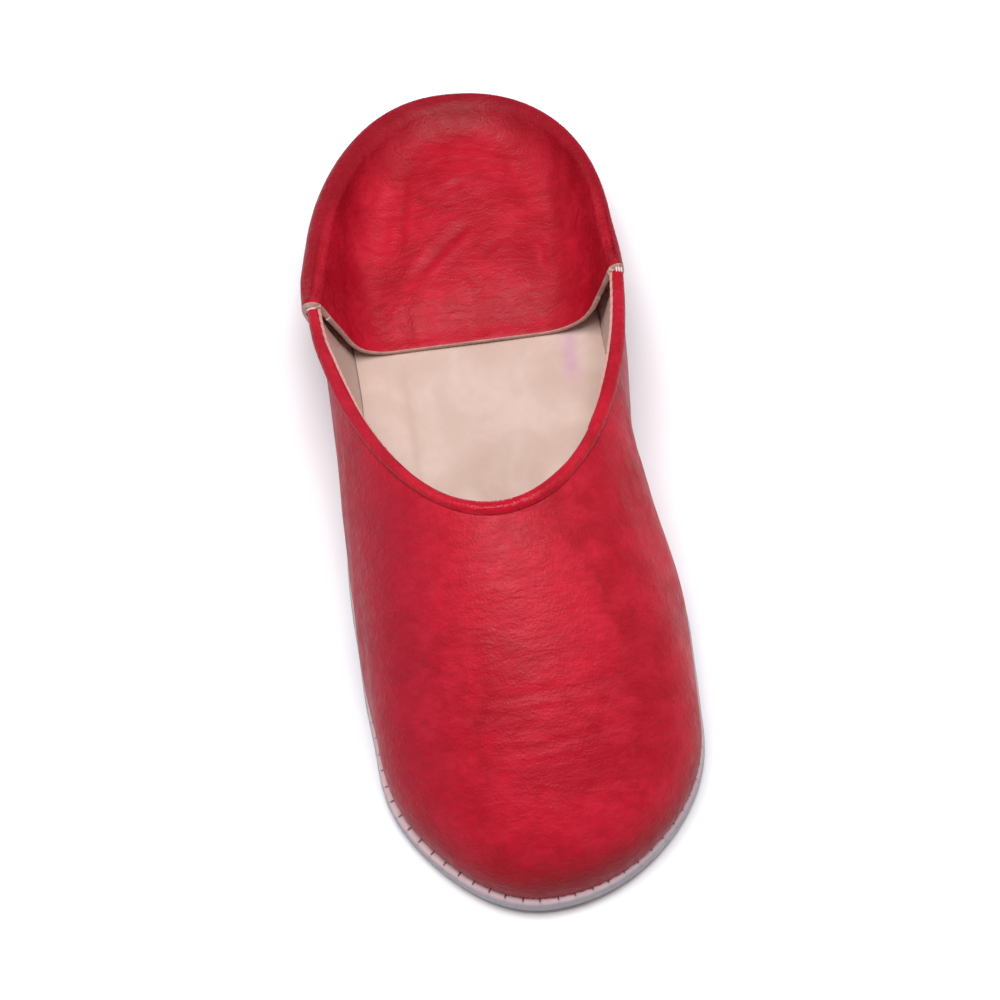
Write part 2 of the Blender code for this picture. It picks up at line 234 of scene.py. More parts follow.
def unit(vectors):
    return vectors / np.linalg.norm(vectors, axis=-1, keepdims=True)


def through(table, column, place):
    """A smooth curve through one column of a table, level at both ends."""
    stations = np.array([row[0] for row in table])
    values = np.array([row[column] for row in table])
    slopes = np.zeros(len(values))
    slopes[1:-1] = (values[2:] - values[:-2]) / (stations[2:] - stations[:-2])
    k = np.clip(np.searchsorted(stations, place) - 1, 0, len(stations) - 2)
    width = stations[k + 1] - stations[k]
    t = (place - stations[k]) / width
    near = (1 + 2 * t) * (1 - t) ** 2 * values[k] + t * (1 - t) ** 2 * width * slopes[k]
    far = t * t * (3 - 2 * t) * values[k + 1] - t * t * (1 - t) * width * slopes[k + 1]
    return near + far


def along_line(line, shares):
    """Points of a polyline at shares of its length."""
    lengths = np.linalg.norm(np.diff(line, axis=0), axis=1)
    run = np.concatenate([[0.0], np.cumsum(lengths)])
    return np.stack([np.interp(shares * run[-1], run, values) for values in line.T], axis=1)


def line_length(line):
    return np.linalg.norm(np.diff(line, axis=0), axis=1).sum()


def bezier(p0, p1, p2, p3, shares):
    """One curve for each row of points, as a grid of columns and rows."""
    t = shares[None, :, None]
    p0, p1, p2, p3 = (p[:, None, :] for p in (p0, p1, p2, p3))
    return (1 - t) ** 3 * p0 + 3 * (1 - t) ** 2 * t * p1 + 3 * (1 - t) * t * t * p2 + t ** 3 * p3


def grid_normals(grid):
    return unit(np.cross(np.gradient(grid, axis=0), np.gradient(grid, axis=1)))


def lifted(plan, height):
    """Plan points at one height."""
    return np.concatenate([plan, np.full((len(plan), 1), height)], axis=1)


# Shapes of the slipper

def y_at(from_toe):
    return from_toe - SOLE_LENGTH / 2


def toe_lift(y):
    """Height of the sole over the floor: the toe springs up, the rest lies flat."""
    ahead = np.clip((y_at(TOE_SPRING_LENGTH) - y) / TOE_SPRING_LENGTH, 0, 1)
    return TOE_SPRING * ahead ** 2


def sideways(y):
    """Shift of the collar and heel, from none at the throat."""
    behind_throat = step((y - y_at(THROAT_FROM_TOE)) / (SEAM_FROM_TOE - THROAT_FROM_TOE))
    behind_seam = step((y - y_at(SEAM_FROM_TOE)) / HEEL_SHIFT_RUN)
    return SEAM_SHIFT * behind_throat + (HEEL_SHIFT - SEAM_SHIFT) * behind_seam


def sole_half_width(station, column):
    """Half width of the sole, with its toe and heel rounded as ellipses."""
    toe = np.clip(1 - station / TOE_ROUND, 0, 1)
    heel = np.clip(1 - (1 - station) / HEEL_ROUND, 0, 1)
    return BALL_WIDTH * through(SOLE_TABLE, column, station) * np.sqrt((1 - toe ** 2) * (1 - heel ** 2))


def bare_margin(plan):
    """Width of the sole's edge outside the upper, at points of the edge."""
    toe = step((y_at(TOE_MARGIN_LENGTH + MARGIN_FADE) - plan[..., 1]) / MARGIN_FADE)
    inner_side = step(plan[..., 0] / BALL_WIDTH + 0.5)
    toe_margin = TOE_MARGIN_OUTER + (TOE_MARGIN_INNER - TOE_MARGIN_OUTER) * inner_side
    return SIDE_MARGIN + (toe_margin - SIDE_MARGIN) * toe


def sole_outline(stations, inset):
    """Closed plan, from the toe up the inner side to the heel and back, with its outward directions."""
    station = (1 - np.cos(np.linspace(0, np.pi, stations + 1))) / 2
    y = (station - 0.5) * SOLE_LENGTH
    inner = np.stack([sole_half_width(station, 2), y], axis=1)
    outer = np.stack([-sole_half_width(station, 1), y], axis=1)
    loop = np.concatenate([inner, outer[-2:0:-1]])
    forward = unit(np.roll(loop, -1, axis=0) - np.roll(loop, 1, axis=0))
    outward = np.stack([forward[:, 1], -forward[:, 0]], axis=1)
    return loop - outward * np.reshape(inset(loop), (-1, 1)), outward


def foot_line(front):
    """Line where the upper meets the sole, outer seam to inner seam, with its outward directions."""
    ring = np.concatenate(sole_outline(CURVE_POINTS, bare_margin), axis=1)
    half = len(ring) // 2
    if front:
        limit = y_at(SEAM_FROM_TOE)
        ring = np.concatenate([ring[half:], ring[:half + 1]])
        kept = ring[ring[:, 1] < limit]
    else:
        limit = y_at(SEAM_FROM_TOE) + SEAM_GAP
        ring = ring[::-1]
        kept = ring[ring[:, 1] > limit]
    ends = kept[[0, -1]]
    ends[:, 1] = limit
    return np.concatenate([ends[:1], kept, ends[1:]])


def collar_line(shares):
    """Neck of the collar roll, from the outer seam over the throat to the inner seam."""
    depth = SEAM_FROM_TOE - THROAT_FROM_TOE
    long_axis = COLLAR_BLUNTNESS * depth
    widest = np.arccos(1 - depth / long_axis)
    turn = np.linspace(-widest, widest, CURVE_POINTS + 1)
    x = COLLAR_HALF_WIDTH * np.sin(turn) / np.sin(widest)
    behind = long_axis * (1 - np.cos(turn))
    y = y_at(THROAT_FROM_TOE) + behind
    z = THROAT_HEIGHT + (SEAM_HEIGHT - THROAT_HEIGHT) * behind / depth
    return along_line(np.stack([x + sideways(y), y, z], axis=1), shares)


def vamp_wall(columns, rows):
    """Outside of the upper from the sole to the neck of its roll, and the roll's frame at each column."""
    u = np.linspace(0, 1, columns + 1)
    foot = along_line(foot_line(front=True), u)
    neck = collar_line(u + COLLAR_CROWDING * np.sin(2 * np.pi * u))
    place = 1 - np.abs(2 * u - 1)
    outer_flare, inner_flare, rise, pull, drop = [through(VAMP_TABLE, k, place)[:, None] for k in range(1, 6)]
    flare = BALL_WIDTH * np.where(u[:, None] < 0.5, outer_flare, inner_flare)
    base = lifted(foot[:, :2], SOLE_THICKNESS + GAP)
    outward = lifted(foot[:, 2:], 0.0)
    height = neck[:, 2:] - base[:, 2:]
    level = (base - neck) * (1 - UP)
    shoulder = neck + level * pull - UP * drop * height
    belly = base + outward * flare + UP * rise * height
    wall = bezier(base, belly, shoulder, neck, np.linspace(0, 1, rows + 1))
    out = grid_normals(wall)[:, -1]
    lean = unit(neck - shoulder)
    thicker = step(place / ROLL_END_SHARE)[:, None]
    radius = ROLL_END_RADIUS + (COLLAR_ROLL_RADIUS - ROLL_END_RADIUS) * thicker
    reach = np.sqrt(radius ** 2 - (UPPER_WALL / 2) ** 2)
    centre = wall[:, -1] - out * UPPER_WALL / 2 + lean * reach
    return wall, (centre, out, lean, radius, np.arcsin(reach / radius))


def round_roll(roll, away, turns):
    """Points round the roll, at a distance from its face.

    Turn 0 is its outer side, a quarter its top and a half its inner side.
    """
    centre, out, lean, radius, _ = roll
    turns = np.broadcast_to(turns, (len(centre), np.shape(turns)[-1]))[:, :, None]
    reach = np.broadcast_to(radius + away, turns.shape[:2])[:, :, None]
    return centre[:, None] + reach * (lean[:, None] * np.sin(turns) + out[:, None] * np.cos(turns))


def ridge_line(shares):
    """Top of the folded back, from the outer seam round the heel to the inner seam."""
    start = y_at(SEAM_FROM_TOE) + SEAM_GAP
    back = SOLE_LENGTH / 2 + RIDGE_BEHIND_SOLE
    length = back - start
    turn = np.linspace(-np.pi / 2, np.pi / 2, CURVE_POINTS + 1)
    power = 2 / RIDGE_SQUARENESS
    taper = np.where(turn < 0, RIDGE_TAPER_OUTER, RIDGE_TAPER_INNER)
    x = COLLAR_HALF_WIDTH * np.sign(turn) * np.abs(np.sin(turn)) ** power
    y = back - length * taper * (1 - np.cos(turn) ** power)
    x = np.concatenate([[-COLLAR_HALF_WIDTH], x, [COLLAR_HALF_WIDTH]])
    y = np.concatenate([[start], y, [start]])
    x = x * (1 - RIDGE_NARROWING / COLLAR_HALF_WIDTH * step((y - start) / NARROWING_RUN))
    top = SEAM_HEIGHT + COLLAR_ROLL_RADIUS
    arch = ARCH_RISE * step(1 - (y - start) / ARCH_RUN)
    z = HEEL_RIDGE_HEIGHT + (top - HEEL_RIDGE_HEIGHT) * (back - y) / length + arch
    return along_line(np.stack([x + sideways(y), y, z], axis=1), shares)


def descent(distance, drop, top_radius, foot_radius):
    """Height lost by leather that turns over a ridge, falls and lands level."""
    turn = np.arccos(np.clip(1 - drop / (top_radius + foot_radius), -1, 1))
    turn = np.minimum(turn, STEEPEST)
    top_run = top_radius * np.sin(turn)
    foot_run = foot_radius * np.sin(turn)
    straight = np.maximum(drop - (top_radius + foot_radius) * (1 - np.cos(turn)), 0)
    middle = straight / np.tan(turn)
    over = np.minimum(distance, top_run)
    left = np.clip(top_run + middle + foot_run - distance, 0, foot_run)
    top_loss = top_radius - np.sqrt(top_radius ** 2 - over ** 2)
    slope_loss = np.tan(turn) * np.clip(distance - top_run, 0, middle)
    foot_loss = np.sqrt(foot_radius ** 2 - left ** 2) - foot_radius * np.cos(turn)
    return top_loss + slope_loss + foot_loss


def flap_height(plan):
    """Height of the flap's upper face over plan points, from how far they are inside the ridge."""
    steps = CURVE_POINTS // 2
    ridge = ridge_line(np.linspace(0, 1, 2 * steps + 1))
    points = plan.reshape(-1, 2)
    away = np.linalg.norm(points[:, None, :] - ridge[None, :, :2], axis=2)
    nearest = np.argmin(away, axis=1)
    distance = away[np.arange(len(points)), nearest]
    top = ridge[nearest, 2]
    to_side = np.abs(nearest / steps - 1)
    inner_side = step((ridge[nearest, 0] + SIDE_CHANGE) / (2 * SIDE_CHANGE))
    foot_radius_side = FOOT_RADIUS_OUTER + (FOOT_RADIUS_INNER - FOOT_RADIUS_OUTER) * inner_side
    top_radius = TOP_RADIUS_BACK + (TOP_RADIUS_SIDE - TOP_RADIUS_BACK) * step(2 * to_side)
    foot_radius = FOOT_RADIUS_BACK + (foot_radius_side - FOOT_RADIUS_BACK) * step(1.6 * to_side)
    rest = SOLE_THICKNESS + GAP + INSOLE_THICKNESS + GAP + FLAP_THICKNESS
    behind_edge = step((points[:, 1] - y_at(FLAP_EDGE_FROM_TOE)) / SWELL_RUN)
    swell = FLAP_SWELL * step((distance - SWELL_START) / SWELL_RUN) * behind_edge
    height = top - descent(distance, top - rest, top_radius, foot_radius) + swell
    return height.reshape(plan.shape[:-1])


def flap_edge(shares):
    """Raw front edge of the flap: straight across the insole, then up behind each end of the roll."""
    seam = ridge_line(np.array([0.0, 1.0]))
    left = seam[0, 0] + FLAP_CORNER
    right = seam[1, 0] - FLAP_CORNER
    across = -np.cos(np.linspace(0, np.pi, CURVE_POINTS + 1))
    x = (left + right) / 2 + (right - left) / 2 * across
    forward = 1 - step((np.abs(across) - FLAP_CORNER_START) / FLAP_CORNER_RUN)
    back = seam[0, 1]
    y = back + (y_at(FLAP_EDGE_FROM_TOE) - back) * forward
    plan = np.stack([x, y], axis=1)
    return along_line(np.concatenate([plan, flap_height(plan)[:, None]], axis=1), shares)


def counter_faces():
    """Outside of the back: its wall up to the ridge, and its flap from there to the raw edge."""
    u = np.linspace(0, 1, COUNTER_COLUMNS + 1)
    foot = along_line(foot_line(front=False), u)
    ridge = ridge_line(u)
    base = lifted(foot[:, :2], SOLE_THICKNESS + GAP)
    forward = unit(np.gradient(ridge[:, :2], axis=0))
    outward = lifted(np.stack([-forward[:, 1], forward[:, 0]], axis=1), 0.0)
    inner_side = step((ridge[:, :1] + 1.5 * SIDE_CHANGE) / (3 * SIDE_CHANGE))
    bulge = outward * (BULGE_OUTER + (BULGE_INNER - BULGE_OUTER) * inner_side)
    height = ridge[:, 2:] - base[:, 2:]
    belly = base + bulge + UP * height * BULGE_START
    wall = bezier(base, belly, ridge + bulge, ridge, np.linspace(0, 1, COUNTER_WALL_ROWS + 1))
    edge = flap_edge(u)
    inward = (np.arange(1, FLAP_ROWS + 1) / FLAP_ROWS) ** FLAP_CROWDING
    plan = ridge[:, None, :2] + (edge - ridge)[:, None, :2] * inward[None, :, None]
    flap = np.concatenate([plan, flap_height(plan)[:, :, None]], axis=2)
    return wall, flap


# Relief: listed creases, and soft unevenness

VAMP_CREASE_DEPTH = 0.45 * MM
FLAP_CREASE_DEPTH = 0.58 * MM
VAMP_CREASES = (
    # width mm, strength, then shares: across the upper from outer to inner seam, up from the sole
    (1.1, 0.28, ((0.232, 0.75), (0.37, 0.85), (0.51, 0.883), (0.62, 0.85))),
    (1.0, 0.22, ((0.185, 0.592), (0.29, 0.725), (0.38, 0.75))),
    (1.2, 0.34, ((0.235, 0.617), (0.302, 0.642), (0.39, 0.642))),
    (1.3, 0.40, ((0.34, 0.617), (0.488, 0.65), (0.588, 0.617), (0.682, 0.55))),
    (1.0, 0.30, ((0.315, 0.583), (0.45, 0.608), (0.552, 0.60), (0.64, 0.517))),
    (1.2, 0.36, ((0.385, 0.525), (0.50, 0.533), (0.558, 0.525), (0.65, 0.467))),
    (1.0, 0.30, ((0.558, 0.458), (0.638, 0.417), (0.69, 0.375))),
    (1.0, 0.24, ((0.195, 0.392), (0.26, 0.483), (0.348, 0.558))),
    (1.1, 0.26, ((0.505, 0.425), (0.578, 0.383), (0.632, 0.35))),
    (1.1, 0.26, ((0.42, 0.708), (0.545, 0.708), (0.63, 0.683))),
    (1.2, 0.28, ((0.13, 0.392), (0.228, 0.542), (0.298, 0.608))),
    (0.8, 0.26, ((0.548, 0.972), (0.556, 0.94), (0.575, 0.915))),
    (0.8, 0.22, ((0.60, 0.962), (0.606, 0.93))),
    (1.8, 0.25, ((0.192, 0.958), (0.148, 0.858), (0.092, 0.725))),
    (1.6, 0.15, ((0.102, 0.86), (0.112, 0.775), (0.078, 0.642))),
    (1.6, 0.40, ((0.875, 0.75), (0.87, 0.658), (0.868, 0.56))),
    (1.3, 0.30, ((0.822, 0.80), (0.81, 0.733), (0.805, 0.65))),
)
FLAP_CREASES = (
    # width mm, strength, then shares: across the back from outer to inner seam, in from the ridge
    (1.5, 0.55, ((0.408, 0.288), (0.402, 0.412), (0.388, 0.50), (0.368, 0.625))),
    (1.8, 0.80, ((0.53, 0.55), (0.492, 0.606), (0.462, 0.65), (0.415, 0.712), (0.378, 0.762))),
    (1.4, 0.42, ((0.525, 0.381), (0.482, 0.425), (0.45, 0.456))),
    (1.4, 0.40, ((0.60, 0.612), (0.558, 0.656), (0.53, 0.712))),
    (1.0, 0.26, ((0.442, 0.156), (0.505, 0.238), (0.56, 0.269), (0.638, 0.225))),
    (0.9, 0.22, ((0.47, 0.281), (0.525, 0.312), (0.595, 0.306))),
    (0.9, 0.30, ((0.295, 0.02), (0.302, 0.13))),
    (0.9, 0.30, ((0.345, 0.056), (0.345, 0.15))),
    (2.4, 0.45, ((0.68, 0.075), (0.66, 0.212), (0.672, 0.406), (0.692, 0.631), (0.722, 0.912))),
    (0.9, -0.35, ((0.762, 0.288), (0.745, 0.481))),
    (1.4, 0.45, ((0.655, 0.569), (0.68, 0.625), (0.68, 0.725))),
    (2.6, 0.40, ((0.265, 0.094), (0.255, 0.219), (0.26, 0.419), (0.272, 0.662), (0.288, 0.969))),
    (0.7, -0.25, ((0.482, 0.881), (0.455, 0.912))),
    (1.6, 0.35, ((0.288, 0.275), (0.332, 0.325), (0.375, 0.331))),
    (1.4, 0.35, ((0.50, 0.75), (0.528, 0.819), (0.518, 0.894))),
    (1.6, 0.50, ((0.355, 0.80), (0.352, 0.90), (0.362, 0.985))),
)
ROLL_PLEATS = (0.452, 0.463, 0.487, 0.512, 0.527, 0.551)


def lattice(cells, seed):
    """Repeatable number from 0 to 1 for each whole-numbered cell."""
    x, y, z = (cells[..., k].astype(np.int64) for k in range(3))
    mixed = (x * 374761393 + y * 668265263 + z * 1442695041 + seed * 1013904223) & 0xFFFFFFFF
    mixed = ((mixed ^ (mixed >> 13)) * 1274126177) & 0xFFFFFFFF
    return ((mixed ^ (mixed >> 16)) & 0xFFFF) / 0xFFFF


def cloud(points, size, seed, octaves=2):
    """Smooth unevenness round 0, with lumps of one size and finer ones on them."""
    total = np.zeros(points.shape[:-1])
    for octave in range(octaves):
        place = points / np.array(size) * 2 ** octave
        cell = np.floor(place)
        t = step(place - cell)
        value = 0
        for corner in np.ndindex(2, 2, 2):
            weight = np.prod(np.where(np.array(corner) == 1, t, 1 - t), axis=-1)
            value = value + weight * lattice(cell + corner, seed + octave)
        total += (2 * value - 1) / 2 ** octave
    return total


def sample(grid, shares):
    """Points of a grid at shares of its columns and rows."""
    columns, rows = grid.shape[0] - 1, grid.shape[1] - 1
    place = np.array(shares) * (columns, rows)
    low = np.clip(np.floor(place).astype(int), 0, (columns - 1, rows - 1))
    a, b = (place - low).T[:, :, None]
    i, j = low.T
    near = grid[i, j] * (1 - b) + grid[i, j + 1] * b
    far = grid[i + 1, j] * (1 - b) + grid[i + 1, j + 1] * b
    return near * (1 - a) + far * a


def smooth_path(points, count):
    """A rounded path through a few points."""
    points = np.array(points, dtype=float)
    path = along_line(points, np.linspace(0, 1, count))
    for _ in range(count // 3):
        path[1:-1] = (path[:-2] + 2 * path[1:-1] + path[2:]) / 4
    return path


def crease_relief(grid, creases, full_depth):
    """Height of the creases over a grid: a soft trough with a faint ridge on both sides."""
    relief = np.zeros(grid.shape[:2])
    for width, strength, shares in creases:
        path = sample(grid, smooth_path(shares, 28))
        reach = 4 * width * MM
        near = np.all((grid > path.min(axis=0) - reach) & (grid < path.max(axis=0) + reach), axis=2)
        points = grid[near]
        start, along = path[:-1], np.diff(path, axis=0)
        to_point = points[:, None] - start[None]
        t = np.clip((to_point * along).sum(axis=2) / (along ** 2).sum(axis=1), 0, 1)
        away = np.linalg.norm(to_point - t[:, :, None] * along, axis=2)
        k = np.argmin(away, axis=1)
        rows = np.arange(len(points))
        place = (k + t[rows, k]) / len(start)
        x = away[rows, k] / (width * MM)
        ends = step(place / 0.3) * step((1 - place) / 0.3)
        relief[near] += strength * full_depth * ends * (0.4 * hump((x - 1.9) / 0.8) - hump(x))
    return relief


# Meshes

def srgb(red, green, blue):
    """Linear colour from 0 to 255 values."""
    value = np.array([red, green, blue]) / 255
    linear = np.where(value <= 0.04045, value / 12.92, ((value + 0.055) / 1.055) ** 2.4)
    return (*linear.tolist(), 1.0)


# The solids are centred on the origin, the shapes above on the sole
sole_loop, _ = sole_outline(SOLE_COLUMNS // 2, lambda plan: np.zeros(len(plan)))
SHIFT = np.array([*(np.array(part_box("outsole")[0][:2]) - sole_loop.min(axis=0)), 0.0])


def in_place(points):
    """Points of the shapes above, in the solids' frame."""
    return points + UP * toe_lift(points[..., 1:2]) + SHIFT


def add_piece(name, slot, vertices, faces, material, **marks):
    """A mesh that rides on the slipper, with its marks as vertex attributes."""
    first, second, third, fourth = (vertices[faces[:, k]] for k in range(4))
    volume = (first * (np.cross(second, third) + np.cross(third, fourth))).sum()
    if volume < 0:
        faces = faces[:, ::-1]
    mesh = bpy.data.meshes.new(name)
    mesh.from_pydata(in_place(vertices).tolist(), [], faces.tolist())
    mesh.validate()
    mesh.materials.append(material)
    mesh.shade_smooth()
    mesh.set_sharp_from_angle(angle=np.radians(50))
    for mark, values in marks.items():
        attribute = mesh.attributes.new(mark, "FLOAT", "POINT")
        attribute.data.foreach_set("value", values.astype(np.float32).ravel())
    piece = bpy.data.objects.new(name, mesh)
    bpy.context.scene.collection.objects.link(piece)
    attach(piece, "root")
    return piece


def ring_faces(columns, ring):
    """Quads of a tube of closed rings, with both ends closed by strips across the ring."""
    i, k = np.meshgrid(np.arange(columns - 1), np.arange(ring), indexing="ij")
    after = (k + 1) % ring
    side = np.stack([i * ring + k, (i + 1) * ring + k, (i + 1) * ring + after, i * ring + after], axis=-1)
    k = np.arange(ring // 2 - 1)
    strip = np.stack([k, k + 1, ring - 2 - k, ring - 1 - k], axis=-1)
    last = (columns - 1) * ring
    return np.concatenate([side.reshape(-1, 4), strip, last + strip[:, ::-1]])


def ring_piece(name, slot, grid, material, **marks):
    columns, ring = grid.shape[:2]
    return add_piece(name, slot, grid.reshape(-1, 3), ring_faces(columns, ring), material, **marks)


def tubes(paths, radius, sides=8):
    """Vertices and faces of threads along paths, thinner at both ends."""
    vertices, faces = [], []
    total = 0
    for path in paths:
        path = np.array(path)
        forward = unit(np.gradient(path, axis=0))
        helper = np.where(np.abs(forward[:, 2:]) > 0.9, [1.0, 0.0, 0.0], [0.0, 0.0, 1.0])
        right = unit(np.cross(forward, helper))
        above = np.cross(right, forward)
        turn = np.linspace(0, 2 * np.pi, sides, endpoint=False)[None, :, None]
        place = np.linspace(-1, 1, len(path))[:, None, None]
        size = radius * (1 - 0.55 * place ** 8)
        ring = path[:, None] + size * (np.cos(turn) * right[:, None] + np.sin(turn) * above[:, None])
        vertices.append(ring.reshape(-1, 3))
        faces.append(ring_faces(len(path), sides) + total)
        total += len(path) * sides
    return np.concatenate(vertices), np.concatenate(faces)


# Materials

class Nodes:
    """Short calls to build a material's nodes."""

    def __init__(self, name):
        self.material = bpy.data.materials.new(name)
        self.material.use_nodes = True
        self.tree = self.material.node_tree
        self.shader = self.tree.nodes["Principled BSDF"]
        self.coordinates = self.tree.nodes.new("ShaderNodeTexCoord").outputs["Object"]

    def link(self, value, socket):
        if isinstance(value, bpy.types.NodeSocket):
            self.tree.links.new(value, socket)
        else:
            socket.default_value = value

    def stretched(self, x, y, z):
        node = self.tree.nodes.new("ShaderNodeMapping")
        self.link(self.coordinates, node.inputs["Vector"])
        node.inputs["Scale"].default_value = (x, y, z)
        return node.outputs["Vector"]

    def noise(self, size, detail=3.0, vector=None, distortion=0.0):
        """Soft noise with lumps of about one size in metres."""
        node = self.tree.nodes.new("ShaderNodeTexNoise")
        self.link(vector or self.coordinates, node.inputs["Vector"])
        node.inputs["Scale"].default_value = 1 / size
        node.inputs["Detail"].default_value = detail
        node.inputs["Distortion"].default_value = distortion
        return node.outputs["Fac"]

    def cells(self, size):
        """Pores of about one size in metres."""
        node = self.tree.nodes.new("ShaderNodeTexVoronoi")
        self.link(self.coordinates, node.inputs["Vector"])
        node.inputs["Scale"].default_value = 1 / size
        return node.outputs["Distance"]

    def mark(self, name):
        node = self.tree.nodes.new("ShaderNodeAttribute")
        node.attribute_name = name
        return node.outputs["Fac"]

    def math(self, operation, a, b=0.0, c=0.0):
        node = self.tree.nodes.new("ShaderNodeMath")
        node.operation = operation
        for value, socket in zip((a, b, c), node.inputs):
            self.link(value, socket)
        return node.outputs[0]

    def ranged(self, value, low, high, to_low=0.0, to_high=1.0):
        """Value from low to high, brought smoothly to another range."""
        node = self.tree.nodes.new("ShaderNodeMapRange")
        node.interpolation_type = "SMOOTHSTEP"
        for number, socket in zip((value, low, high, to_low, to_high), node.inputs):
            self.link(number, socket)
        return node.outputs["Result"]

    def mix(self, share, a, b):
        node = self.tree.nodes.new("ShaderNodeMix")
        node.data_type = "RGBA"
        self.link(share, node.inputs[0])
        self.link(a, node.inputs[6])
        self.link(b, node.inputs[7])
        return node.outputs[2]

    def bump(self, height, depth, under=None):
        """A bump of one depth in metres, on top of another one."""
        node = self.tree.nodes.new("ShaderNodeBump")
        node.inputs["Distance"].default_value = depth
        self.link(height, node.inputs["Height"])
        if under:
            self.link(under, node.inputs["Normal"])
        return node.outputs["Normal"]

    def finish(self, colour, roughness, normal, **settings):
        self.link(colour, self.shader.inputs["Base Color"])
        self.link(roughness, self.shader.inputs["Roughness"])
        self.link(normal, self.shader.inputs["Normal"])
        for name, value in settings.items():
            self.shader.inputs[name.replace("_", " ").title().replace("Ior", "IOR")].default_value = value
        return self.material


def red_leather(name):
    """Soft dyed goat leather: mottled red, with painted shade in its creases and where marked, painted
    highlights on the creases' ridges, painted grazing sheen where marked, and a tan cut edge.
    """
    n = Nodes(name)
    clouds = n.ranged(n.noise(0.034, 3, distortion=0.8), 0.36, 0.66)
    blotches = n.ranged(n.noise(0.008, 4, distortion=0.4), 0.38, 0.66)
    fibres = n.ranged(n.noise(0.0020, 4, n.stretched(0.45, 1, 1), 0.3), 0.35, 0.68)
    colour = n.mix(clouds, srgb(168, 12, 32), srgb(192, 20, 44))
    colour = n.mix(n.math("MULTIPLY", blotches, 0.40), colour, srgb(204, 34, 58))
    colour = n.mix(n.math("MULTIPLY", fibres, 0.32), colour, srgb(150, 8, 24))
    bands = n.ranged(n.noise(0.011, 4, n.stretched(0.35, 1, 1), 0.5), 0.45, 0.70)
    colour = n.mix(n.math("MULTIPLY", bands, 0.38), colour, srgb(148, 8, 26))
    shade = n.mark("shade")
    colour = n.mix(n.ranged(shade, 0.0, 1.0, 0.0, 0.75), colour, srgb(122, 6, 20))
    # painted grazing sheen: duller red where the leather faces sideways
    colour = n.mix(n.mark("dusty"), colour, srgb(152, 26, 48))
    # painted shade in the creases' troughs and painted highlight on their ridges
    fold = n.mark("fold")
    colour = n.mix(n.ranged(fold, 0.0, -1.0, 0.0, 0.40), colour, srgb(126, 6, 22))
    colour = n.mix(n.ranged(fold, 0.05, 0.6, 0.0, 0.30), colour, srgb(216, 56, 78))
    raw = n.mark("raw")
    tan = n.mix(n.noise(0.0012, 3), srgb(186, 142, 132), srgb(216, 180, 170))
    colour = n.mix(raw, colour, tan)
    roughness = n.ranged(n.noise(0.004, 3), 0.3, 0.7, 0.42, 0.55)
    roughness = n.math("SUBTRACT", roughness, n.math("MULTIPLY", n.mark("gloss"), 0.30))
    roughness = n.math("MAXIMUM", roughness, n.math("MULTIPLY", raw, 0.85))
    normal = n.bump(n.noise(0.0045, 4, n.stretched(0.5, 1, 1), 0.5), 0.00018)
    normal = n.bump(fibres, 0.00009, normal)
    normal = n.bump(n.cells(0.0008), 0.00009, normal)
    return n.finish(colour, roughness, normal, specular_ior_level=0.17, coat_weight=0.02,
                    coat_roughness=0.30)


def beige_leather(name):
    """Undyed lining leather: beige with faint pink, and a pink raw edge where it is marked."""
    n = Nodes(name)
    clouds = n.ranged(n.noise(0.022, 3, distortion=0.6), 0.35, 0.66)
    specks = n.ranged(n.noise(0.0035, 4), 0.40, 0.68)
    colour = n.mix(clouds, srgb(200, 173, 159), srgb(213, 188, 176))
    colour = n.mix(n.math("MULTIPLY", specks, 0.35), colour, srgb(206, 176, 166))
    # painted shade in hollows, on the lining's side walls and at the footbed's edge
    fold = n.mark("fold")
    colour = n.mix(n.ranged(fold, 0.0, -1.0, 0.0, 0.9), colour, srgb(158, 120, 102))
    colour = n.mix(n.math("MULTIPLY", n.mark("stain"), n.ranged(specks, 0.0, 1.0, 0.65, 0.9)),
                   colour, srgb(196, 148, 176))
    colour = n.mix(n.mark("raw"), colour, srgb(206, 146, 138))
    normal = n.bump(n.noise(0.004, 5), 0.00025)
    normal = n.bump(n.noise(0.0008, 3), 0.00006, normal)
    return n.finish(colour, n.ranged(n.noise(0.003, 3), 0.3, 0.7, 0.62, 0.78), normal,
                    sheen_weight=0.15, sheen_roughness=0.5)


def sole_leather(name):
    """Thick natural leather: the rounded lip painted pale as lit, the side painted a cooler grey as in shade,
    and a tan underside.
    """
    n = Nodes(name)
    fibres = n.noise(0.0016, 4, n.stretched(0.6, 0.6, 3.0))
    # painted light and shade: the grey-lilac side is the leather in shade, the pale lip the same leather lit
    side = n.mix(fibres, srgb(148, 142, 150), srgb(180, 174, 182))
    under = n.mix(n.noise(0.006, 5), srgb(150, 112, 84), srgb(186, 148, 116))
    lip = n.mix(n.noise(0.003, 4), srgb(214, 176, 178), srgb(236, 204, 206))
    colour = n.mix(n.mark("under"), side, under)
    colour = n.mix(n.mark("lip"), colour, lip)
    colour = n.mix(n.math("MULTIPLY", n.mark("slit"), n.ranged(n.noise(0.004, 2), 0.3, 0.7, 0.5, 1.0)),
                   colour, srgb(110, 48, 54))
    normal = n.bump(fibres, 0.00010)
    normal = n.bump(n.noise(0.0009, 3), 0.00005, normal)
    return n.finish(colour, n.ranged(n.noise(0.003, 3), 0.3, 0.7, 0.55, 0.75), normal)


def thread(name, colour, dark):
    n = Nodes(name)
    twist = n.noise(0.0006, 2)
    return n.finish(n.mix(twist, colour, dark), 0.7, n.bump(twist, 0.00008))


RED = red_leather("red_leather")
BEIGE = beige_leather("beige_leather")
NATURAL = sole_leather("natural_leather")
DARK_THREAD = thread("dark_thread", srgb(124, 58, 62), srgb(84, 34, 40))
RED_THREAD = thread("red_thread", srgb(150, 24, 40), srgb(96, 14, 26))
PALE_THREAD = thread("pale_thread", srgb(244, 226, 226), srgb(206, 170, 170))


# Pieces

